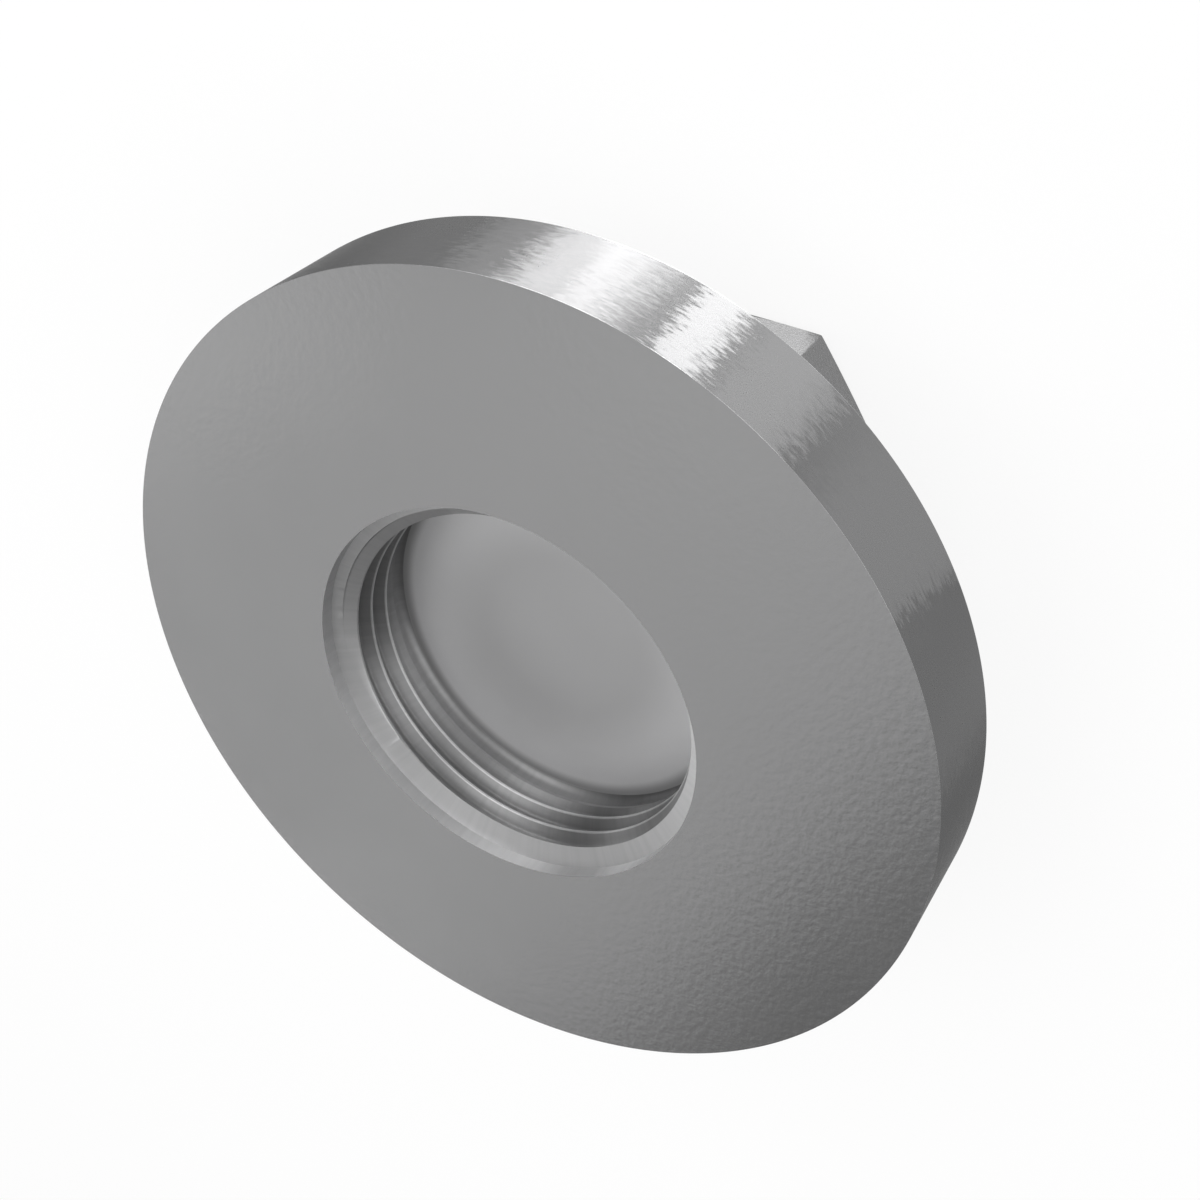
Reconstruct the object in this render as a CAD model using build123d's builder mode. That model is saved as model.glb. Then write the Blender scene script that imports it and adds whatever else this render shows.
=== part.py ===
from build123d import *
import os
from math import ceil, cos, radians, tan

os.makedirs("parts", exist_ok=True)

# A weld nut made from one piece of steel: a round flange with a hexagon behind it and a blind thread.
# It stands on the end of the hexagon, with the flange and the mouth of the thread on top.
# The origin is the centre of the hexagon's end face, and Z is the axis of the thread.

# Flange
flange_diameter = 53.0
flange_thickness = 7.2

# Hexagon behind the flange, with a turned chamfer on its end
across_flats = 31.5
overall_height = 23.7
end_circle_diameter = 30.0
end_chamfer_angle = 15.0
root_fillet = 0.5

# Right-handed metric thread M24 x 1.5
thread_diameter = 24.0
thread_pitch = 1.5
flank_angle = 30.0

# Blind bore, with a relief at its floor for the end of the thread's cut
bore_depth = 7.25
relief_width = 1.2
relief_clearance = 0.15

# Mouth of the bore: a short counterbore, clear of the thread, then a shallow countersink down to it
mouth_clearance = 0.65
mouth_depth = 0.9
countersink_angle = 140.0

# Heights of the faces
flange_back = overall_height - flange_thickness
mouth_floor = overall_height - mouth_depth
bore_floor = overall_height - bore_depth

# Radii: the hole that is drilled for a thread is one pitch smaller than the thread
corner_radius = across_flats / 2 / cos(radians(30))
end_circle_radius = end_circle_diameter / 2
thread_radius = thread_diameter / 2
core_radius = (thread_diameter - thread_pitch) / 2
relief_radius = thread_radius + relief_clearance
mouth_radius = thread_radius + mouth_clearance

# The cones at the end of the hexagon and in the mouth
corner_height = (corner_radius - end_circle_radius) * tan(radians(end_chamfer_angle))
countersink_floor = mouth_floor - (mouth_radius - core_radius) / tan(radians(countersink_angle / 2))

# The groove of the thread: a trapezoid, flat at the root, that opens a little inside the drilled wall
root_flat = thread_pitch / 8
groove_overlap = thread_pitch / 20
groove_depth = thread_radius - core_radius + groove_overlap
groove_width = root_flat + 2 * groove_depth * tan(radians(flank_angle))

# The cut starts in the middle of the relief, and its last whole turn leaves through the mouth
thread_start = bore_floor + relief_width / 2
thread_turns = ceil((overall_height + groove_width / 2 - thread_start) / thread_pitch)

with BuildPart() as weld_nut:
    # Hexagon with two of its corners on the X axis
    with BuildSketch(Plane.XY):
        RegularPolygon(radius=across_flats / 2, side_count=6, major_radius=False)
    extrude(amount=flange_back)

    # Chamfer: a turned outline that takes the corners off the end and curves the edges of the flats
    with BuildSketch(Plane.XZ):
        with BuildLine():
            Polyline(
                (0, 0),
                (end_circle_radius, 0),
                (corner_radius, corner_height),
                (corner_radius, flange_back),
                (0, flange_back),
                close=True,
            )
        make_face()
    revolve(axis=Axis.Z, mode=Mode.INTERSECT)

    # Flange
    with BuildSketch(Plane.XY.offset(flange_back)):
        Circle(flange_diameter / 2)
    extrude(amount=flange_thickness)

    # Fillet in the corner between the flats and the back of the flange
    root_edges = weld_nut.edges().filter_by(GeomType.LINE).filter_by(Plane.XY).group_by(Axis.Z)[-1]
    fillet(root_edges, radius=root_fillet)

    # Mouth, countersink and drilled bore in one turned outline
    with BuildSketch(Plane.XZ):
        with BuildLine():
            Polyline(
                (0, bore_floor),
                (core_radius, bore_floor),
                (core_radius, countersink_floor),
                (mouth_radius, mouth_floor),
                (mouth_radius, overall_height),
                (0, overall_height),
                close=True,
            )
        make_face()
    revolve(axis=Axis.Z, mode=Mode.SUBTRACT)

    # Thread: the groove's outline swept up a helix on the drilled wall, one turn above another
    for turn in range(thread_turns):
        with BuildLine() as turn_path:
            Helix(
                pitch=thread_pitch,
                height=thread_pitch,
                radius=core_radius,
                center=(0, 0, thread_start + turn * thread_pitch),
            )
        turn_start = turn_path.line @ 0
        turn_direction = turn_path.line % 0
        with BuildSketch(Plane(origin=turn_start, x_dir=(1, 0, 0), z_dir=turn_direction)):
            Polygon(
                (-groove_overlap, -groove_width / 2),
                (thread_radius - core_radius, -root_flat / 2),
                (thread_radius - core_radius, root_flat / 2),
                (-groove_overlap, groove_width / 2),
                align=None,
            )
        sweep(path=turn_path.line, is_frenet=True, mode=Mode.SUBTRACT)

    # Relief at the floor of the bore, into which the thread runs out
    with BuildSketch(Plane.XY.offset(bore_floor)):
        Circle(relief_radius)
    extrude(amount=relief_width, mode=Mode.SUBTRACT)

weld_nut.part.label = "weld_nut"
export_step(weld_nut.part, "parts/weld_nut.step")
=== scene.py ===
"""Dresses the weld nut: one fine steel mesh that stands for its CAD node, a floor, lamps and a camera."""

import logging
import math
from dataclasses import dataclass
from enum import Enum
from typing import Any

import bmesh
import bpy
from mathutils import Matrix, Vector


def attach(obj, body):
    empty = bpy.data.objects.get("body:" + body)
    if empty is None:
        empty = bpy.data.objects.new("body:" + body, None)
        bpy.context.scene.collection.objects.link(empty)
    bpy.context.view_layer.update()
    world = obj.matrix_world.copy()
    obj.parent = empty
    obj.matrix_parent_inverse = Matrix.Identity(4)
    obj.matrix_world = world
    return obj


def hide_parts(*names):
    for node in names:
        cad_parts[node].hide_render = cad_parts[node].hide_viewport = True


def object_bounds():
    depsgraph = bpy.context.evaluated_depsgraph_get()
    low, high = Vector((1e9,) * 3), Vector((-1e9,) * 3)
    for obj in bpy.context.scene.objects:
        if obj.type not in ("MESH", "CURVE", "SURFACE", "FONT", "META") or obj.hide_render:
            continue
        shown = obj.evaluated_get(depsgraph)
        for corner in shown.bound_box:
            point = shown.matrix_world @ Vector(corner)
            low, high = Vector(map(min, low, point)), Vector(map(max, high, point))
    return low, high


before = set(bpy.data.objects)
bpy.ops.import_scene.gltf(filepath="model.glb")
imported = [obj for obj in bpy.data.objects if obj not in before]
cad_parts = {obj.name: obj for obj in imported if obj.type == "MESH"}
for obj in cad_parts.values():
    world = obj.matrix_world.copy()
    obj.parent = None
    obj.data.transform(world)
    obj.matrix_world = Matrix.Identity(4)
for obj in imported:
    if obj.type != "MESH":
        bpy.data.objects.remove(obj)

log = logging.getLogger("weld_nut")
MM = 0.001
CAD_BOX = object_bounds()


# ---------------------------------------------------------------- node trees


class Value:
    """A number in a node tree. Python's operators on it add Math nodes."""

    def __init__(self, board: "NodeBoard", socket: bpy.types.NodeSocket) -> None:
        """Keeps the socket and the tree that it belongs to."""
        self.board = board
        self.socket = socket

    def math(self, operation: str, *others: Any) -> "Value":
        """Adds one Math node, with self as its first term, and gives its result."""
        return self.board.math(operation, self, *others)

    def __add__(self, other: Any) -> "Value":
        """Gives self + other."""
        return self.math("ADD", other)

    __radd__ = __add__

    def __sub__(self, other: Any) -> "Value":
        """Gives self - other."""
        return self.math("SUBTRACT", other)

    def __rsub__(self, other: Any) -> "Value":
        """Gives other - self."""
        return self.board.math("SUBTRACT", other, self)

    def __mul__(self, other: Any) -> "Value":
        """Gives self * other."""
        return self.math("MULTIPLY", other)

    __rmul__ = __mul__

    def __truediv__(self, other: Any) -> "Value":
        """Gives self / other."""
        return self.math("DIVIDE", other)

    def __rtruediv__(self, other: Any) -> "Value":
        """Gives other / self."""
        return self.board.math("DIVIDE", other, self)

    def least(self, other: Any) -> "Value":
        """Gives the smaller of the two."""
        return self.math("MINIMUM", other)

    def most(self, other: Any) -> "Value":
        """Gives the larger of the two."""
        return self.math("MAXIMUM", other)

    def above(self, other: Any) -> "Value":
        """Gives 1 where self is above other, and 0 elsewhere."""
        return self.math("GREATER_THAN", other)

    def towards(self, other: Any, share: Any) -> "Value":
        """Gives self, moved a share of the way to other."""
        return self + share * (other - self)

    def step(self, low: Any, high: Any) -> "Value":
        """Gives a smooth step from 0, where self is low, to 1, where it is high."""
        share = ((self - low) / (high - low)).most(0.0).least(1.0)
        return share * share * (3.0 - 2.0 * share)


class NodeBoard:
    """Adds nodes to one tree."""

    def __init__(self, tree: bpy.types.NodeTree) -> None:
        """Keeps the tree."""
        self.tree = tree

    def add(self, kind: str, settings: dict[str, Any] | None = None,
            sockets: dict[Any, Any] | None = None) -> bpy.types.Node:
        """Adds any node: its settings come first, then its sockets.

        Args:
            kind: The node's type.
            settings: The node's own settings. "cases" is the number of values of an index switch.
            sockets: The values or links of its input sockets, by name or number.

        Returns:
            The new node.
        """
        made = self.tree.nodes.new(kind)
        for name, setting in (settings or {}).items():
            if name == "cases":
                while len(made.index_switch_items) < setting:
                    made.index_switch_items.new()
            else:
                setattr(made, name, setting)
        for key, given in (sockets or {}).items():
            socket = made.inputs[key]
            if isinstance(given, Value):
                self.tree.links.new(given.socket, socket)
            elif isinstance(given, bpy.types.NodeSocket):
                self.tree.links.new(given, socket)
            else:
                socket.default_value = given
        return made

    def value(self, kind: str, settings: dict[str, Any] | None = None,
              sockets: dict[Any, Any] | None = None, output: Any = 0) -> Value:
        """Adds any node, as add does, and gives the output with that name or number as a value."""
        return Value(self, self.add(kind, settings, sockets).outputs[output])

    def math(self, operation: str, *terms: Any) -> Value:
        """Adds a Math node with these terms, in order, and gives its result."""
        return self.value("ShaderNodeMath", {"operation": operation}, dict(enumerate(terms)))

    def vector(self, operation: str, *terms: Any, scale: Any = None) -> bpy.types.NodeSocket:
        """Adds a Vector Math node.

        Args:
            operation: The node's operation.
            terms: Its vectors, in order.
            scale: The number that the vector is multiplied by, where the operation is SCALE.

        Returns:
            The node's vector.
        """
        sockets: dict[Any, Any] = dict(enumerate(terms))
        if scale is not None:
            sockets["Scale"] = scale
        return self.add("ShaderNodeVectorMath", {"operation": operation}, sockets).outputs[0]


# ---------------------------------------------------------------- sizes


@dataclass(frozen=True)
class NutSizes:
    """The real sizes of the nut, in millimetres and degrees, as the CAD source has them."""

    flange_diameter: float = 53.0
    flange_thickness: float = 7.2
    across_flats: float = 31.5
    overall_height: float = 23.7
    end_circle_diameter: float = 30.0
    end_chamfer_angle: float = 15.0
    root_fillet: float = 0.5
    thread_diameter: float = 24.0
    thread_pitch: float = 1.5
    flank_angle: float = 30.0
    bore_depth: float = 7.25
    relief_width: float = 1.2
    relief_clearance: float = 0.15
    mouth_clearance: float = 0.65
    mouth_depth: float = 0.9
    countersink_angle: float = 140.0

    @property
    def flange_radius(self) -> float:
        """The radius of the flange."""
        return self.flange_diameter / 2

    @property
    def flange_back(self) -> float:
        """The height of the flange's back."""
        return self.overall_height - self.flange_thickness

    @property
    def mouth_radius(self) -> float:
        """The radius of the counterbore in the mouth."""
        return self.thread_diameter / 2 + self.mouth_clearance

    @property
    def mouth_floor(self) -> float:
        """The height at which the countersink starts."""
        return self.overall_height - self.mouth_depth

    @property
    def countersink_floor(self) -> float:
        """The height at which the countersink meets the crests of the thread."""
        inset = self.mouth_radius - (self.thread_diameter - self.thread_pitch) / 2
        return self.mouth_floor - inset / math.tan(math.radians(self.countersink_angle / 2))

    @property
    def bore_floor(self) -> float:
        """The height of the bore's floor."""
        return self.overall_height - self.bore_depth

    @property
    def relief_radius(self) -> float:
        """The radius of the relief at the floor."""
        return self.thread_diameter / 2 + self.relief_clearance

    @property
    def relief_top(self) -> float:
        """The height at which the relief ends and the thread starts."""
        return self.bore_floor + self.relief_width

    @property
    def thread_start(self) -> float:
        """The height at which the middle of the thread's groove starts, on the X axis."""
        return self.bore_floor + self.relief_width / 2


# ---------------------------------------------------------------- the threaded bore


@dataclass(frozen=True)
class Groove:
    """The groove's plain form as values in a node tree, in millimetres.

    The core is the radius of the drilled hole, and half of the groove's width there is wide. The slope is how fast
    a flank rises while it runs outwards.
    """

    core: Value
    depth: Value
    slope: Value
    wide: Value


@dataclass(frozen=True)
class ThreadedBore:
    """The wall of the bore between its relief and its counterbore: thread and countersink in one surface.

    Crests and roots are rounded in a few steps. The lowest ridge is worn: its wall is moved by worn_share towards
    worn_depth, a share of the groove's depth, and this fades out over worn_rise. Lengths are in millimetres.
    """

    sizes: NutSizes
    columns: int = 360
    turns: int = 6
    crest_flat: float = 0.14
    crest_round: float = 0.05
    crest_steps: int = 4
    root_round: float = 0.20
    root_steps: int = 5
    worn_depth: float = 0.72
    worn_share: float = 0.85
    worn_rise: float = 1.3
    merge_distance: float = 0.0015

    def profile(self) -> list[tuple[float, float]]:
        """Works out the outline of one turn of the groove.

        Returns:
            Pairs of height above the middle of the groove and radius, upwards.
        """
        s = self.sizes
        slope = math.tan(math.radians(s.flank_angle))
        depth = s.thread_pitch / 2
        core = (s.thread_diameter - s.thread_pitch) / 2
        wide = (s.thread_pitch - self.crest_flat) / 2
        root = wide - depth * slope
        turn = math.radians(90 - s.flank_angle)
        crest_tangent = self.crest_round * math.tan(turn / 2)
        root_tangent = self.root_round * math.tan(turn / 2)
        half = []
        for step in range(self.root_steps + 1):
            angle = turn * step / self.root_steps
            half.append((root - root_tangent + self.root_round * math.sin(angle),
                         core + depth - self.root_round * (1 - math.cos(angle))))
        for step in range(self.crest_steps, -1, -1):
            angle = turn * step / self.crest_steps
            half.append((wide + crest_tangent - self.crest_round * math.sin(angle),
                         core + self.crest_round * (1 - math.cos(angle))))
        return [(-rise, radius) for rise, radius in reversed(half)] + half

    def outline(self, board: NodeBoard, corner: Value) -> tuple[Value, Value]:
        """Looks up one corner of the groove's outline.

        Args:
            board: The tree's nodes.
            corner: The corner's number, from 0.

        Returns:
            Its height above the middle of the groove, and its radius.
        """
        profile = self.profile()
        rise, radius = (
            board.value("GeometryNodeIndexSwitch", {"data_type": "FLOAT", "cases": len(profile)},
                        {0: corner} | {number + 1: length for number, length in enumerate(lengths)})
            for lengths in zip(*profile))
        return rise, radius

    def lower_end(self, size: dict[str, Value], groove: Groove, share: Value) -> Value:
        """Works out how far out the wall is where the relief cuts the thread.

        Args:
            size: The tree's inputs.
            groove: The groove's plain form.
            share: The column's share of a turn.

        Returns:
            The radius of the cut.
        """
        pitch = size["Pitch"]
        phase = ((size["Relief Top"] - size["Thread Start"]) / pitch - share).math("FRACT")
        near = phase.least(1.0 - phase) * pitch
        return groove.core + ((groove.wide - near) / groove.slope).most(0.0).least(groove.depth)

    def upper_end(self, size: dict[str, Value], groove: Groove, share: Value) -> tuple[Value, Value]:
        """Works out where the countersink cuts the thread: where its cone is as wide as the groove.

        Args:
            size: The tree's inputs.
            groove: The groove's plain form.
            share: The column's share of a turn.

        Returns:
            The height and the radius of the cut.
        """
        pitch = size["Pitch"]
        start = size["Thread Start"]
        cone = (size["Countersink Angle"] * (math.pi / 360.0)).math("TANGENT")
        cone_start = size["Mouth Floor"] - (size["Mouth Radius"] - groove.core) / cone
        base = ((cone_start - start) / pitch - share).math("FLOOR")
        lift = cone * cone_start
        flat = cone_start + groove.depth / cone
        high = cone_start
        # Two turns of the groove can reach the cone in one column
        for number in range(2):
            middle = start + pitch * (base + share + float(number))
            rising = ((groove.wide - middle) / groove.slope + lift) / (cone - 1.0 / groove.slope)
            falling = ((groove.wide + middle) / groove.slope + lift) / (cone + 1.0 / groove.slope)
            high = high.most(rising.least(flat).least(falling))
        return high, groove.core + cone * (high - cone_start)

    def tree(self, steel: bpy.types.Material) -> bpy.types.GeometryNodeTree:
        """Builds the geometry node tree.

        Args:
            steel: The material of the wall.

        Returns:
            The tree, with its sizes as named inputs in millimetres and degrees.
        """
        made = bpy.data.node_groups.new("threaded_bore", "GeometryNodeTree")
        made.interface.new_socket(name="Geometry", in_out="OUTPUT", socket_type="NodeSocketGeometry")
        for name in ("Thread Diameter", "Pitch", "Flank Angle", "Thread Start", "Relief Top", "Relief Radius",
                     "Mouth Floor", "Mouth Radius", "Countersink Angle", "Crest Flat", "Columns", "Turns"):
            made.interface.new_socket(name=name, in_out="INPUT", socket_type="NodeSocketFloat")
        board = NodeBoard(made)
        given = board.add("NodeGroupInput")
        size = {socket.name: Value(board, socket) for socket in given.outputs if socket.name}
        corners = float(len(self.profile()))
        columns = size["Columns"]
        rows = size["Turns"] * corners + 2.0

        # Each vertex knows its column round the bore and its row up the outline
        grid = board.add("GeometryNodeMeshGrid", None,
                         {"Size X": 1.0, "Size Y": 1.0, "Vertices X": columns + 1.0, "Vertices Y": rows})
        index = board.value("GeometryNodeInputIndex")
        column = ((index + 0.5) / rows).math("FLOOR")
        row = index - column * rows
        share = column / columns
        angle = share * (2.0 * math.pi)

        # Places on the outline of the groove
        place = row - 1.0
        turn = ((place + 0.5) / corners).math("FLOOR")
        corner = place - turn * corners
        rise, radius = self.outline(board, corner)
        pitch = size["Pitch"]
        height = size["Thread Start"] + pitch * (turn - 1.0 + share) + rise
        groove = Groove(
            core=(size["Thread Diameter"] - pitch) / 2.0,
            depth=pitch / 2.0,
            slope=(size["Flank Angle"] * (math.pi / 180.0)).math("TANGENT"),
            wide=(pitch - size["Crest Flat"]) / 2.0,
        )

        # Run-out: the lowest ridge is cut lower and softer, as a tap leaves it
        low = size["Relief Top"]
        worn = groove.core + groove.depth * self.worn_depth
        fading = 1.0 - height.step(low, low + self.worn_rise)
        radius = radius.towards(worn, self.worn_share * fading)

        # The relief cuts the outline at one height, and the countersink cuts it along its cone
        low_radius = self.lower_end(size, groove, share).towards(worn, self.worn_share)
        radius = radius.towards(low_radius, 1.0 - height.above(low))
        height = height.most(low)
        high, high_radius = self.upper_end(size, groove, share)
        radius = radius.towards(high_radius, height.above(high))
        height = height.least(high)

        # The first row is the relief's rim, and the last is the countersink's
        first = 1.0 - row.above(0.5)
        last = row.above(rows - 1.5)
        radius = radius.towards(size["Relief Radius"], first).towards(size["Mouth Radius"], last)
        height = height.towards(low, first).towards(size["Mouth Floor"], last)

        reach = radius * MM
        point = board.add("ShaderNodeCombineXYZ", None, {
            0: reach * angle.math("COSINE"), 1: reach * angle.math("SINE"), 2: height * MM})
        placed = board.add("GeometryNodeSetPosition", None, {
            "Geometry": grid.outputs["Mesh"], "Position": point.outputs[0]})
        merged = board.add("GeometryNodeMergeByDistance", None, {
            "Geometry": placed.outputs[0], "Distance": self.merge_distance * MM})
        real = board.add("GeometryNodeRealizeInstances", None, {"Geometry": merged.outputs[0]})
        dressed = board.add("GeometryNodeSetMaterial", None, {
            "Geometry": real.outputs[0], "Material": steel})
        board.add("NodeGroupOutput", None, {0: dressed.outputs[0]})
        return made

    def build(self, steel: bpy.types.Material) -> bpy.types.Mesh:
        """Makes the wall as a plain mesh.

        Args:
            steel: The material of the wall.

        Returns:
            The mesh, in metres, in the frame of the CAD model.
        """
        s = self.sizes
        tree = self.tree(steel)
        holder = bpy.data.objects.new("bore_holder", bpy.data.meshes.new("bore_holder"))
        bpy.context.scene.collection.objects.link(holder)
        modifier = holder.modifiers.new("threaded_bore", "NODES")
        modifier.node_group = tree
        wanted = {
            "Thread Diameter": s.thread_diameter, "Pitch": s.thread_pitch, "Flank Angle": s.flank_angle,
            "Thread Start": s.thread_start, "Relief Top": s.relief_top, "Relief Radius": s.relief_radius,
            "Mouth Floor": s.mouth_floor, "Mouth Radius": s.mouth_radius,
            "Countersink Angle": s.countersink_angle, "Crest Flat": self.crest_flat,
            "Columns": float(self.columns), "Turns": float(self.turns),
        }
        for item in tree.interface.items_tree:
            if item.in_out == "INPUT":
                modifier[item.identifier] = wanted[item.name]
        bpy.context.view_layer.update()
        evaluated = holder.evaluated_get(bpy.context.evaluated_depsgraph_get())
        made = bpy.data.meshes.new_from_object(evaluated)
        holder.modifiers.clear()
        bpy.data.objects.remove(holder)
        return made


# ---------------------------------------------------------------- the nut's body

Ring = list[tuple[float, float, float]]
Place = tuple[float, float]


@dataclass(frozen=True)
class NutBody:
    """The outside of the nut and the plain turned faces of its bore, in millimetres.

    A broken edge has a guard ring on each face, at edge_guard times the length that the arc takes off that face.
    The rings of curved_edge break the edge between the chamfer and the flats, and each is given by how many edge
    breaks it lies inwards and upwards. The rings at near_edge and near_fillet keep the large faces beside them
    evenly shaded.
    """

    sizes: NutSizes
    columns: int = 360
    sides: int = 6
    edge_break: float = 0.005
    edge_steps: int = 3
    edge_guard: float = 3.0
    curved_edge: tuple[Place, ...] = ((2.4, 0.0), (1.0, 0.0), (0.35, 0.3), (0.0, 1.0))
    corner_round: float = 0.16
    corner_columns: int = 3
    fillet_steps: int = 12
    floor_fillet: float = 0.5
    floor_steps: int = 8
    near_edge: float = 0.6
    near_fillet: float = 0.3
    flats_start: float = 1.1
    back_inset: float = 2.0
    floor_inset: float = 1.0
    end_rings: Place = (5.0, 14.0)
    floor_ring: float = 4.0

    def circle(self, radius: float, height: float) -> Ring:
        """Gives a round ring with one point for each column, at this radius and height in millimetres."""
        turn = 2 * math.pi / self.columns
        return [(radius * math.cos(turn * column), radius * math.sin(turn * column), height)
                for column in range(self.columns)]

    def hexagon(self, growth: float, height: float) -> Ring:
        """Gives a hexagonal ring of points with slightly rounded corners.

        Args:
            growth: How far the flats stand outside the nut's own.
            height: The ring's height in millimetres.

        Returns:
            One point for each column.
        """
        apothem = self.sizes.across_flats / 2 + growth
        tilt = math.pi / self.sides
        half_flat = apothem * math.tan(tilt)
        rounding = self.corner_round
        tangent = rounding * math.tan(tilt)
        per_side = self.columns // self.sides
        arc = self.corner_columns
        points = []
        for column in range(self.columns):
            side, step = divmod(column, per_side)
            if step > per_side // 2:
                side, step = side + 1, step - per_side
            corner = 2 * tilt * side
            if abs(step) <= arc:
                # Columns on the arc round the corner
                bend = tilt * step / arc
                along = (apothem - rounding) / math.cos(tilt) + rounding * math.cos(bend)
                across = rounding * math.sin(bend)
            else:
                # Columns spread evenly over the flat, between the corner's arc and the flat's middle
                share = (abs(step) - arc) / (per_side // 2 - arc)
                run = tangent + (half_flat - tangent) * share
                along = apothem / math.cos(tilt) - run * math.sin(tilt)
                across = math.copysign(run * math.cos(tilt), step)
            points.append((along * math.cos(corner) - across * math.sin(corner),
                           along * math.sin(corner) + across * math.cos(corner), height))
        return points

    def turned_corner(self, place: Place, backwards: Place, onwards: Place) -> list[Ring]:
        """Gives the rings of a small arc that breaks a turned edge, with one close beside it on each face.

        Args:
            place: The edge's radius and height.
            backwards: The direction from the edge back along the outline, as radius and height.
            onwards: The direction from the edge on along the outline.

        Returns:
            The rings, in the outline's order.
        """
        edge = Vector(place)
        back = Vector(backwards).normalized()
        on = Vector(onwards).normalized()
        between = back.angle(on) / 2
        tangent = self.edge_break / math.tan(between)
        centre = edge + (back + on).normalized() * (self.edge_break / math.sin(between))
        first = edge + back * tangent - centre
        last = edge + on * tangent - centre
        spokes = [first.slerp(last, step / self.edge_steps).normalized() for step in range(self.edge_steps + 1)]
        places = [edge + back * tangent * self.edge_guard]
        places += [centre + spoke * self.edge_break for spoke in spokes]
        places += [edge + on * tangent * self.edge_guard]
        return [self.circle(point.x, point.y) for point in places]

    def chamfered_end(self) -> list[Ring]:
        """Gives the rings from the end's face over the turned chamfer and its curved edge to the flats.

        Returns:
            The rings, upwards.
        """
        s = self.sizes
        slope = math.tan(math.radians(s.end_chamfer_angle))
        end = s.end_circle_diameter / 2
        flats = self.hexagon(0.0, 0.0)
        rings = self.turned_corner((end, 0.0), (-1.0, 0.0), (1.0, slope))
        for inwards, upwards in self.curved_edge:
            ring = []
            for x, y, _ in flats:
                reach = math.hypot(x, y)
                pulled = (reach - self.edge_break * inwards) / reach
                lift = (reach * pulled - end) * slope + self.edge_break * upwards
                ring.append((x * pulled, y * pulled, lift))
            rings.append(ring)
        return rings

    def outside(self) -> list[Ring]:
        """Gives the rings from the end's face round the outside to the mouth's edge.

        Returns:
            The rings, in order.
        """
        s = self.sizes
        rim, mouth = s.flange_radius, s.mouth_radius
        back, top = s.flange_back, s.overall_height
        fillet = s.root_fillet
        inwards, outwards, upwards, downwards = (-1.0, 0.0), (1.0, 0.0), (0.0, 1.0), (0.0, -1.0)
        rings = [self.circle(radius, 0.0) for radius in self.end_rings]
        rings += self.chamfered_end()
        rings += [self.hexagon(0.0, self.flats_start), self.hexagon(0.0, back - fillet - self.near_fillet)]
        for step in range(self.fillet_steps + 1):
            angle = math.pi / 2 * step / self.fillet_steps
            rings.append(self.hexagon(fillet * (1 - math.cos(angle)), back - fillet * (1 - math.sin(angle))))
        rings += [self.hexagon(fillet + self.near_fillet, back), self.circle(rim - self.back_inset, back)]
        rings += self.turned_corner((rim, back), inwards, upwards)
        rings += self.turned_corner((rim, top), downwards, inwards)
        rings += [self.circle(rim - self.near_edge, top), self.circle(mouth + self.near_edge, top)]
        rings += self.turned_corner((mouth, top), outwards, downwards)
        return rings + [self.circle(mouth, s.mouth_floor)]

    def inside(self) -> list[Ring]:
        """Gives the rings of the relief and of the bore's floor, inwards.

        Returns:
            The rings, in order.
        """
        s = self.sizes
        floor = s.bore_floor
        relief = s.relief_radius
        rings = [self.circle(relief, s.relief_top)]
        for step in range(self.floor_steps + 1):
            angle = math.pi / 2 * step / self.floor_steps
            rings.append(self.circle(relief - self.floor_fillet * (1 - math.cos(angle)),
                                     floor + self.floor_fillet * (1 - math.sin(angle))))
        return rings + [self.circle(relief - self.floor_inset, floor), self.circle(self.floor_ring, floor)]

    def skin(self, mesh: bmesh.types.BMesh, rings: list[Ring]) -> list[list[bmesh.types.BMVert]]:
        """Adds rings and the faces between them to a mesh.

        Args:
            mesh: The mesh that the faces are added to.
            rings: The rings in millimetres, in order.

        Returns:
            The vertices of each ring.
        """
        made = [[mesh.verts.new(Vector(point) * MM) for point in ring] for ring in rings]
        for lower, upper in zip(made, made[1:]):
            for column in range(self.columns):
                beside = (column + 1) % self.columns
                mesh.faces.new((lower[column], lower[beside], upper[beside], upper[column]))
        return made

    def cap(self, mesh: bmesh.types.BMesh, ring: list[bmesh.types.BMVert], height: float) -> None:
        """Closes a ring with a fan round its centre.

        Args:
            mesh: The mesh.
            ring: The ring's vertices.
            height: The height of the centre in millimetres.
        """
        centre = mesh.verts.new((0.0, 0.0, height * MM))
        for column in range(self.columns):
            mesh.faces.new((centre, ring[column], ring[(column + 1) % self.columns]))


class Zone(Enum):
    """The parts of the nut's surface that were finished in different ways, some with painted light and shade in
    their tone.
    """

    FACE = 0
    RIM = 1
    MOUTH = 2
    THREAD = 3
    BORE_FLOOR = 4
    HEXAGON = 5
    COUNTERBORE = 6


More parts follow.
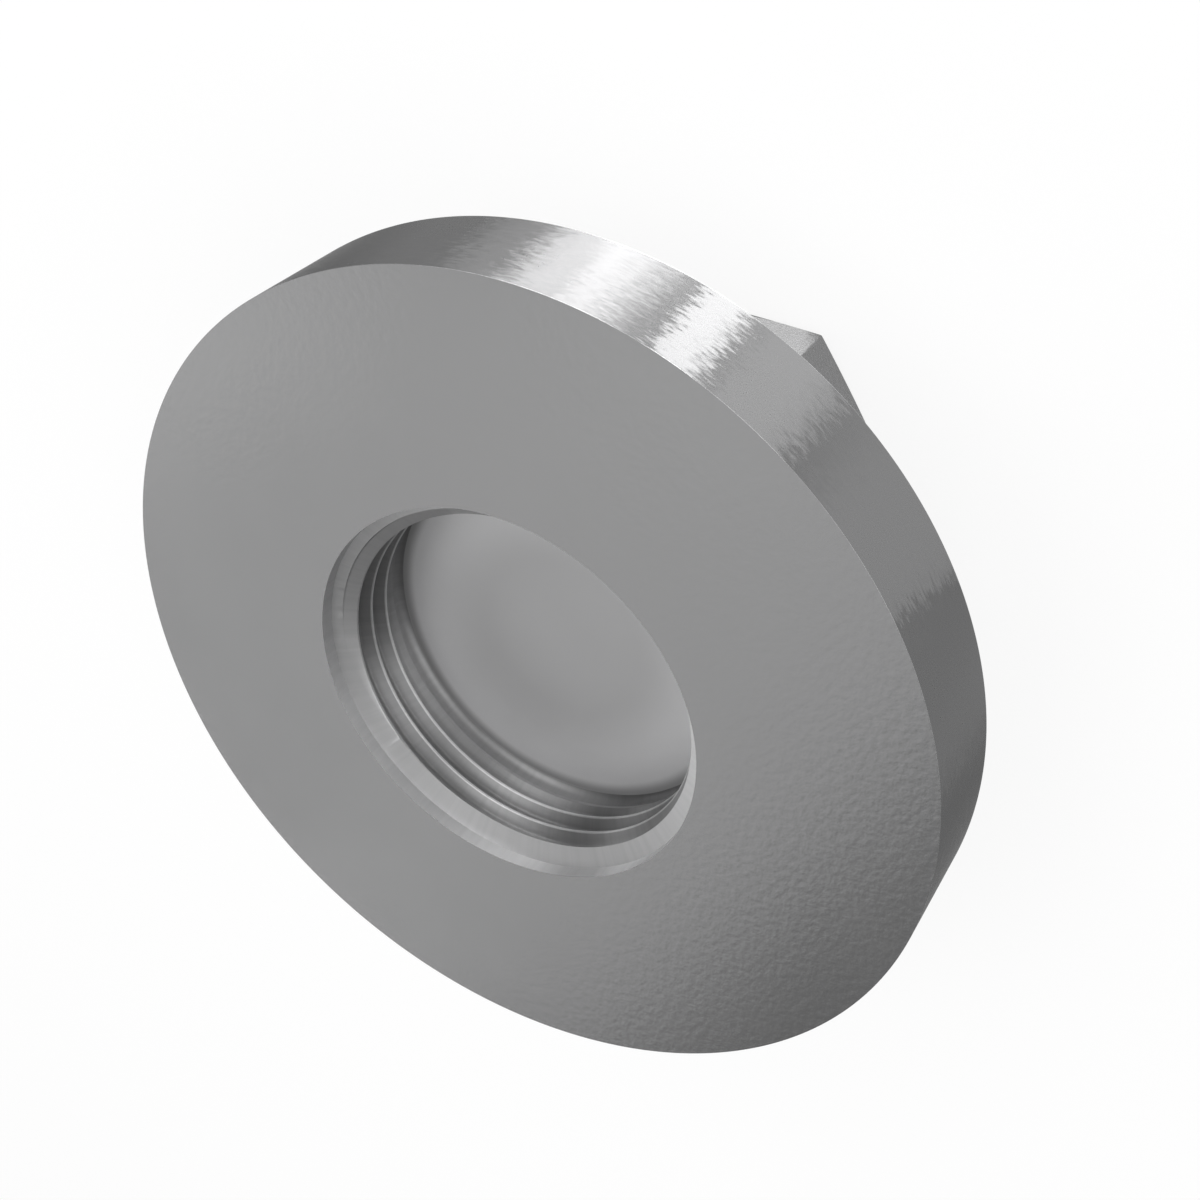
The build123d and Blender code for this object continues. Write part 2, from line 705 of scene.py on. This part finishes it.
@dataclass(frozen=True)
class Nut:
    """The whole nut as one closed steel mesh, which stands for its CAD node.

    Edges are sharp from sharp_from, in degrees. The other numbers are millimetres. Vertices within merge_distance
    are merged, and edges under shortest_edge dissolved. A face belongs to a surface that its middle is within a
    hair or an edge_margin of, and painted_light_blend is how far the countersink's finish, with its lighter tone,
    goes down into the groove: painted light on the groove's shaded top.
    """

    sizes: NutSizes
    node: str = "weld_nut"
    body: str = "root"
    slot: str = "steel"
    sharp_from: float = 17.0
    merge_distance: float = 0.002
    shortest_edge: float = 0.0005
    hair: float = 0.01
    edge_margin: float = 0.02
    rim_depth: float = 0.5
    end_margin: float = 0.1
    painted_light_blend: float = 0.45

    def zone(self, face: bmesh.types.BMFace) -> Zone:
        """Tells which finish a face has.

        Args:
            face: The face.

        Returns:
            Its zone.
        """
        s = self.sizes
        middle = face.calc_center_median() / MM
        reach = math.hypot(middle.x, middle.y)
        on_rim = s.flange_back + self.edge_margin < middle.z < s.overall_height - self.edge_margin
        if on_rim and reach > s.flange_radius - self.rim_depth:
            return Zone.RIM
        in_bore = s.bore_floor - self.hair < middle.z < s.overall_height - self.hair
        if in_bore and reach < s.mouth_radius:
            return self.bore_zone(reach, middle.z)
        if middle.z < s.flange_back - self.hair and reach > s.end_circle_diameter / 2 + self.end_margin:
            return Zone.HEXAGON
        return Zone.FACE

    def bore_zone(self, reach: float, height: float) -> Zone:
        """Tells which finish a face in the bore has.

        Args:
            reach: The radius of the face's middle in millimetres.
            height: Its height in millimetres.

        Returns:
            Its zone.
        """
        s = self.sizes
        if height > s.mouth_floor:
            return Zone.COUNTERBORE
        cone = s.mouth_floor - (s.mouth_radius - reach) / math.tan(math.radians(s.countersink_angle / 2))
        # Faces in the top of the groove take the countersink's lighter tone: painted light in the groove's shade.
        if abs(height - cone) < self.edge_margin or height > s.countersink_floor - self.painted_light_blend:
            return Zone.MOUTH
        return Zone.THREAD if height > s.bore_floor + self.hair else Zone.BORE_FLOOR

    def is_soft(self, edge: bmesh.types.BMEdge) -> bool:
        """Tells whether an edge is shaded softly: where it is shallow, and isn't the end of the countersink.

        Args:
            edge: The edge.

        Returns:
            True for a soft edge.
        """
        kinds = {face.material_index for face in edge.link_faces}
        ends_mouth = len(kinds) > 1 and Zone.MOUTH.value in kinds
        return edge.calc_face_angle() < math.radians(self.sharp_from) and not ends_mouth

    def surface(self, steel: bpy.types.Material) -> bmesh.types.BMesh:
        """Joins the outside and the threaded bore to one closed surface.

        Args:
            steel: The material of the thread.

        Returns:
            The surface, which the caller frees.
        """
        shell = NutBody(self.sizes)
        wall = ThreadedBore(self.sizes).build(steel)
        mesh = bmesh.new()
        mesh.from_mesh(wall)
        bpy.data.meshes.remove(wall)
        outside = shell.skin(mesh, shell.outside())
        inside = shell.skin(mesh, shell.inside())
        shell.cap(mesh, outside[0], 0.0)
        shell.cap(mesh, inside[-1], self.sizes.bore_floor)
        bmesh.ops.remove_doubles(mesh, verts=mesh.verts, dist=self.merge_distance * MM)
        bmesh.ops.dissolve_degenerate(mesh, edges=mesh.edges, dist=self.shortest_edge * MM)
        bmesh.ops.recalc_face_normals(mesh, faces=mesh.faces)
        return mesh

    def build(self, finishes: dict[Zone, bpy.types.Material]) -> bpy.types.Object:
        """Makes the nut and dresses it.

        Args:
            finishes: The material of each zone.

        Returns:
            The finished piece.
        """
        mesh = self.surface(finishes[Zone.THREAD])
        open_edges = sum(1 for edge in mesh.edges if len(edge.link_faces) != 2)
        volume = mesh.calc_volume(signed=True) / MM ** 3
        for face in mesh.faces:
            face.smooth = True
            face.material_index = self.zone(face).value
        for edge in mesh.edges:
            edge.smooth = self.is_soft(edge)
        data = bpy.data.meshes.new("steel_nut")
        mesh.to_mesh(data)
        mesh.free()
        for zone in Zone:
            data.materials.append(finishes[zone])
        piece = bpy.data.objects.new("steel_nut", data)
        bpy.context.scene.collection.objects.link(piece)
        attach(piece, self.body)
        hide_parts(self.node)
        log.info("%s: %d faces, %d open edges, %.0f cubic mm",
                 piece.name, len(data.polygons), open_edges, volume)
        return piece


# ---------------------------------------------------------------- finishes

Change = tuple[float, float, float]


@dataclass(frozen=True)
class SteelFinish:
    """One way in which the steel was finished. Lengths are in millimetres.

    Turned is how far the tool's marks draw out the shine, and lay is their direction. The skin is a fine
    unevenness, skin_size wide and skin_rise high. Clouds are patches and grain is specks, and both change the
    tone and the roughness a little. Streaks are fine lines in the tone that run straight out from the axis, and a
    ripple tilts the surface. The edge is how much of its usual shine the steel keeps where it is seen at a low
    angle. Each of the rings is the radius at which the tone starts to change, the radius at which it has changed,
    and the change. The levels say the same by height. Rings and levels paint light and shade into the tone. The
    rim's low brightness is painted shade, and the high brightness of the bored wall and the bore's floor is
    painted light.
    """

    name: str
    roughness: float
    brightness: float
    turned: float = 0.0
    skin_size: float = 0.65
    skin_rise: float = 0.65
    skin_depth: float = 0.005
    ripple: float = 0.0
    streak: float = 0.0
    edge: float = 1.0
    rings: tuple[Change, ...] = ()
    levels: tuple[Change, ...] = ()
    tint: tuple[float, float, float] = (1.0, 1.0, 1.008)
    plain_tone: float = 0.965
    cloud_tone: float = 0.06
    grain_tone: float = 0.01
    cloud_rough: float = 0.05
    grain_rough: float = 0.03
    cloud_scale: float = 0.11
    grain_size: float = 0.12
    streak_scale: float = 28.0
    lay: float = 0.25

    def material(self) -> bpy.types.Material:
        """Builds the material.

        Returns:
            The material.
        """
        made = bpy.data.materials.new(self.name)
        made.use_nodes = True
        made.node_tree.nodes.clear()
        board = NodeBoard(made.node_tree)
        place = board.add("ShaderNodeTexCoord").outputs["Object"]
        in_mm = board.vector("SCALE", place, scale=1 / MM)
        stretched = board.vector("DIVIDE", in_mm, (self.skin_size, self.skin_size, self.skin_rise))
        skin = board.value("ShaderNodeTexNoise", None, {
            "Vector": stretched, "Scale": 1.0, "Detail": 2.0, "Roughness": 0.5})
        cloud = board.value("ShaderNodeTexNoise", None, {
            "Vector": in_mm, "Scale": self.cloud_scale, "Detail": 3.0, "Roughness": 0.5})
        grain = board.value("ShaderNodeTexNoise", None, {
            "Vector": in_mm, "Scale": 1.0 / self.grain_size, "Detail": 1.0, "Roughness": 0.6})

        tone = self.plain_tone + self.cloud_tone * cloud + self.grain_tone * grain
        tone = self.changed(tone, board, in_mm)
        colour = board.vector("SCALE", self.tint, scale=tone * self.brightness)
        rough = self.roughness + self.cloud_rough * (cloud - 0.5) + self.grain_rough * (grain - 0.5)
        bump = board.add("ShaderNodeBump", None, {
            "Height": skin * self.skin_depth, "Strength": 1.0, "Distance": MM})
        if self.ripple:
            self.tilt(board, skin, bump)
        shader = board.add("ShaderNodeBsdfPrincipled", None, {
            "Base Color": colour, "Metallic": 1.0, "Roughness": rough, "Normal": bump.outputs[0],
            "Specular Tint": (self.edge, self.edge, self.edge, 1.0),
            "Anisotropic": self.turned, "Anisotropic Rotation": self.lay})
        board.add("ShaderNodeOutputMaterial", None, {"Surface": shader.outputs[0]})
        return made

    def changed(self, tone: Value, board: NodeBoard, in_mm: bpy.types.NodeSocket) -> Value:
        """Adds the rings and the levels, which are painted light and shade, and the streaks to the steel's tone.

        Args:
            tone: The tone without them.
            board: The material's nodes.
            in_mm: The place on the nut in millimetres.

        Returns:
            The tone with them.
        """
        flat = board.vector("MULTIPLY", in_mm, (1.0, 1.0, 0.0))
        reach = board.value("ShaderNodeVectorMath", {"operation": "LENGTH"}, {0: flat}, "Value")
        height = board.value("ShaderNodeSeparateXYZ", None, {0: in_mm}, "Z")
        # Painted light and shade: the tone is raised or lowered by radius and by height.
        for where, changes in ((reach, self.rings), (height, self.levels)):
            for start, full, change in changes:
                tone = tone * (1.0 + change * where.step(start, full))
        if self.streak:
            lines = board.value("ShaderNodeTexNoise", None, {
                "Vector": board.vector("NORMALIZE", flat), "Scale": self.streak_scale, "Detail": 2.0,
                "Roughness": 0.6})
            tone = tone * (1.0 + self.streak * (lines - 0.5))
        return tone

    def tilt(self, board: NodeBoard, skin: Value, bump: bpy.types.Node) -> None:
        """Tilts the surface a little to the left and right, as the ripples that a turning tool leaves do.

        Args:
            board: The material's nodes.
            skin: The noise that drives the tilt.
            bump: The bump node that the tilted normal feeds.
        """
        normal = board.add("ShaderNodeNewGeometry").outputs["Normal"]
        around = board.vector("CROSS_PRODUCT", (0.0, 0.0, 1.0), normal)
        shift = board.vector("SCALE", around, scale=(skin - 0.5) * self.ripple)
        tilted = board.vector("NORMALIZE", board.vector("ADD", normal, shift))
        board.tree.links.new(tilted, bump.inputs["Normal"])


@dataclass(frozen=True)
class StudioFloor:
    """A plain white floor that still takes the nut's shadow."""

    colour: tuple[float, float, float, float] = (0.94, 0.94, 0.94, 1.0)
    glow: float = 0.85

    def material(self) -> bpy.types.Material:
        """Builds the material.

        Returns:
            The material.
        """
        made = bpy.data.materials.new("studio_floor")
        made.use_nodes = True
        made.node_tree.nodes.clear()
        board = NodeBoard(made.node_tree)
        ray = board.add("ShaderNodeLightPath")
        seen = Value(board, ray.outputs["Is Camera Ray"]).most(Value(board, ray.outputs["Is Glossy Ray"]))
        seen = seen.most(Value(board, ray.outputs["Is Transmission Ray"]))
        plain = board.add("ShaderNodeBsdfDiffuse", None, {"Color": self.colour})
        white = board.add("ShaderNodeEmission", None, {"Color": (1.0, 1.0, 1.0, 1.0), "Strength": 1.0})
        mixed = board.add("ShaderNodeMixShader", None, {
            0: seen * self.glow, 1: plain.outputs[0], 2: white.outputs[0]})
        board.add("ShaderNodeOutputMaterial", None, {"Surface": mixed.outputs[0]})
        return made


# ---------------------------------------------------------------- the studio


def soft_lamp(name: str, width: float, height: float, radiance: float) -> bpy.types.Object:
    """Makes a rectangular soft lamp that the camera doesn't see.

    Args:
        name: The lamp's name.
        width: Its width in metres.
        height: Its height in metres.
        radiance: How bright its face is, where 1 is white.

    Returns:
        The lamp, at the origin.
    """
    data = bpy.data.lights.new(name, "AREA")
    data.shape = "RECTANGLE"
    data.size = width
    data.size_y = height
    data.energy = radiance * math.pi * width * height
    lamp = bpy.data.objects.new(name, data)
    lamp.visible_camera = False
    bpy.context.scene.collection.objects.link(lamp)
    return lamp


@dataclass(frozen=True)
class Lamp:
    """A soft lamp that faces the nut. Lengths are in metres."""

    name: str
    azimuth: float
    elevation: float
    width: float
    height: float
    radiance: float
    distance: float = 0.5

    def build(self, target: Vector) -> bpy.types.Object:
        """Hangs the lamp.

        Args:
            target: The point that it faces.

        Returns:
            The lamp.
        """
        lamp = soft_lamp(self.name, self.width, self.height, self.radiance)
        around, up = math.radians(self.azimuth), math.radians(self.elevation)
        away = Vector((math.cos(around) * math.cos(up), math.sin(around) * math.cos(up), math.sin(up)))
        lamp.location = target + away * self.distance
        lamp.rotation_mode = "QUATERNION"
        lamp.rotation_quaternion = away.to_track_quat("Z", "Y")
        return lamp


@dataclass(frozen=True)
class FloorStrip:
    """A soft strip of light that lies on the floor, where an upright wall of the nut mirrors it.

    The wall is at an azimuth and a radius, and faces straight outwards unless facing says where. The strip runs
    from near to far, away from the wall on the line that it mirrors, and a lift above the floor. It is as wide as
    what a round wall mirrors over a spread of degrees, mirror_length away. Lengths are in millimetres.
    """

    name: str
    azimuth: float
    spread: float
    radiance: float
    radius: float = 26.5
    facing: float | None = None
    near: float = 3.0
    far: float = 42.0
    mirror_length: float = 20.0
    lift: float = 0.5

    def build(self, viewpoint: Vector) -> bpy.types.Object:
        """Lays the strip.

        Args:
            viewpoint: The place from which the wall is seen.

        Returns:
            The lamp.
        """
        around = math.radians(self.azimuth)
        wall = Vector((math.cos(around), math.sin(around), 0.0)) * self.radius
        seen = viewpoint - wall
        outright = around if self.facing is None else math.radians(self.facing)
        along = 2 * outright - math.atan2(seen.y, seen.x)
        outward = Vector((math.cos(along), math.sin(along), 0.0))
        middle = wall + outward * (self.near + self.far) / 2
        length = (self.far - self.near) * MM
        width = math.radians(self.spread) * (self.radius + 2 * self.mirror_length) * MM
        lamp = soft_lamp(self.name, length, width, self.radiance)
        lamp.location = (middle.x * MM, middle.y * MM, self.lift * MM)
        lamp.rotation_euler = (math.pi, 0.0, along)
        return lamp


@dataclass(frozen=True)
class Studio:
    """The floor, the lamps, the surrounding light and the camera.

    The floor's size and drop and the camera's clipping are in metres, and the camera's place and lens in
    millimetres.
    """

    ambient: float = 0.25
    floor_size: float = 3.0
    floor_drop: float = 0.00002
    lens: float = 50.0
    sensor: float = 36.0
    clipping: tuple[float, float] = (0.005, 20.0)
    camera_place: tuple[float, float, float] = (-73.03, 6.05, 86.90)
    camera_right: tuple[float, float, float] = (-0.43808, 0.75557, -0.48704)
    camera_up: tuple[float, float, float] = (-0.56833, -0.65257, -0.50116)
    # Name, azimuth, elevation, width, height, radiance
    lamps: tuple[Lamp, ...] = (
        Lamp("front", 348.0, 46.0, 0.34, 0.24, 0.49),
        Lamp("front_side", 325.0, 40.0, 0.12, 0.12, 0.30),
        Lamp("front_high", 0.0, 70.0, 0.26, 0.24, 0.41),
        Lamp("front_low", 355.0, 15.0, 0.16, 0.22, 1.55),
        Lamp("front_low_side", 336.0, 15.0, 0.16, 0.22, 1.60),
        Lamp("side_low", 292.5, 15.0, 0.12, 0.22, 4.00),
        Lamp("side_high", 240.0, 70.0, 0.26, 0.24, 1.60),
        Lamp("back_left", 226.0, 48.0, 0.24, 0.48, 2.30),
        Lamp("back", 172.0, 48.0, 0.34, 0.24, 2.00),
        Lamp("back_right", 126.0, 48.0, 0.30, 0.40, 2.16),
        Lamp("back_low", 222.0, 12.0, 0.26, 0.21, 1.20),
        Lamp("back_low_side", 243.5, 12.0, 0.09, 0.21, 4.20),
    )
    # Name, azimuth of the wall, spread, radiance
    strips: tuple[FloorStrip, ...] = (
        FloorStrip("strip_far_right", 136.0, 6.0, 0.7),
        FloorStrip("strip_right", 160.5, 20.0, 0.65),
        FloorStrip("strip_middle", 177.0, 13.0, 1.8),
        FloorStrip("strip_narrow", 186.3, 7.0, 6.9),
        FloorStrip("strip_wide_right", 196.5, 6.0, 7.1),
        FloorStrip("strip_wide_left", 202.5, 6.0, 8.3),
        FloorStrip("strip_left", 208.5, 6.0, 1.9),
        FloorStrip("strip_far_left", 218.0, 13.0, 0.6),
        FloorStrip("strip_below", 181.0, 14.0, 1.1, radius=18.0, facing=210.0, near=0.5, far=10.0),
    )

    def floor(self) -> bpy.types.Object:
        """Lays the floor just under the nut.

        Returns:
            The floor.
        """
        half = self.floor_size / 2
        mesh = bmesh.new()
        mesh.faces.new([mesh.verts.new((x * half, y * half, -self.floor_drop))
                        for x, y in ((-1, -1), (1, -1), (1, 1), (-1, 1))])
        data = bpy.data.meshes.new("floor")
        mesh.to_mesh(data)
        mesh.free()
        data.materials.append(StudioFloor().material())
        made = bpy.data.objects.new("floor", data)
        bpy.context.scene.collection.objects.link(made)
        return made

    def surroundings(self) -> None:
        """Sets the even light around the nut and the view's colours."""
        world = bpy.data.worlds.new("studio")
        world.use_nodes = True
        world.node_tree.nodes.clear()
        board = NodeBoard(world.node_tree)
        even = board.add("ShaderNodeBackground", None, {
            "Color": (1.0, 1.0, 1.0, 1.0), "Strength": self.ambient})
        board.add("ShaderNodeOutputWorld", None, {"Surface": even.outputs[0]})
        bpy.context.scene.world = world
        bpy.context.scene.view_settings.view_transform = "Standard"

    def camera(self) -> bpy.types.Object:
        """Places the camera at the photograph's viewing angle.

        Returns:
            The camera.
        """
        data = bpy.data.cameras.new("camera")
        data.lens = self.lens
        data.sensor_width = self.sensor
        data.clip_start, data.clip_end = self.clipping
        made = bpy.data.objects.new("camera", data)
        right = Vector(self.camera_right).normalized()
        up = Vector(self.camera_up)
        up = (up - right * up.dot(right)).normalized()
        back = right.cross(up)
        turn = Matrix((right, up, back)).transposed().to_4x4()
        made.matrix_world = Matrix.Translation(Vector(self.camera_place) * MM) @ turn
        bpy.context.scene.collection.objects.link(made)
        bpy.context.scene.camera = made
        return made

    def build(self, target: Vector) -> None:
        """Sets everything up.

        Args:
            target: The point that the lamps face.
        """
        self.floor()
        self.surroundings()
        self.camera()
        for lamp in self.lamps:
            lamp.build(target)
            log.info("lamp %s", lamp.name)
        for strip in self.strips:
            strip.build(Vector(self.camera_place))
            log.info("strip %s", strip.name)


def write_sizes() -> None:
    """Updates the view layer.
    """
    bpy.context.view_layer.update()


def main() -> None:
    """Builds the nut and the studio, piece by piece."""
    logging.basicConfig(level=logging.INFO, format="%(name)s: %(message)s")
    steels = {
        Zone.FACE: SteelFinish(
            "satin_face", roughness=0.24, brightness=0.38, skin_size=0.45, skin_rise=0.45, skin_depth=0.012,
            edge=0.8),
        # Painted shade: the rim's low brightness makes it a darker copy of the face's steel.
        Zone.RIM: SteelFinish(
            "turned_rim_painted_shade", roughness=0.27, brightness=0.172, turned=1.0, skin_size=0.7, skin_rise=0.17,
            skin_depth=0.0015, ripple=0.25, edge=0.45),
        Zone.MOUTH: SteelFinish(
            "countersunk_mouth", roughness=0.45, brightness=0.46, skin_depth=0.003, streak=0.22),
        # Painted highlight: the crests are twice as bright. Painted light: the thread gets lighter towards its
        # top, under the countersink.
        Zone.THREAD: SteelFinish(
            "cut_thread_painted_light", roughness=0.50, brightness=0.28, turned=0.8, skin_depth=0.001, streak=0.25,
            rings=((11.34, 11.27, 1.0),), levels=((21.3, 21.84, 0.6),)),
        # Painted light: the floor is brighter than the face's steel and lighter towards its wall. Painted shade: a
        # darker ring at the foot of its fillet.
        Zone.BORE_FLOOR: SteelFinish(
            "drilled_floor_painted_light", roughness=0.60, brightness=0.54, skin_depth=0.002,
            rings=((5.0, 12.5, 0.7), (10.8, 11.7, -0.5))),
        Zone.HEXAGON: SteelFinish(
            "drawn_hexagon", roughness=0.22, brightness=0.20, skin_size=0.16, skin_rise=0.16, skin_depth=0.09),
        # Painted light: the bored wall's high brightness makes it a much lighter copy of the face's steel.
        Zone.COUNTERBORE: SteelFinish(
            "bored_wall_painted_light", roughness=0.50, brightness=0.64, turned=0.7, skin_depth=0.0015, streak=0.2),
    }
    finishes = {zone: steel.material() for zone, steel in steels.items()}
    piece = Nut(NutSizes()).build(finishes)
    lowest, highest = CAD_BOX
    Studio().build((lowest + highest) / 2)
    write_sizes()
    log.info("dressed %s", piece.name)


if __name__ == "__main__":
    main()
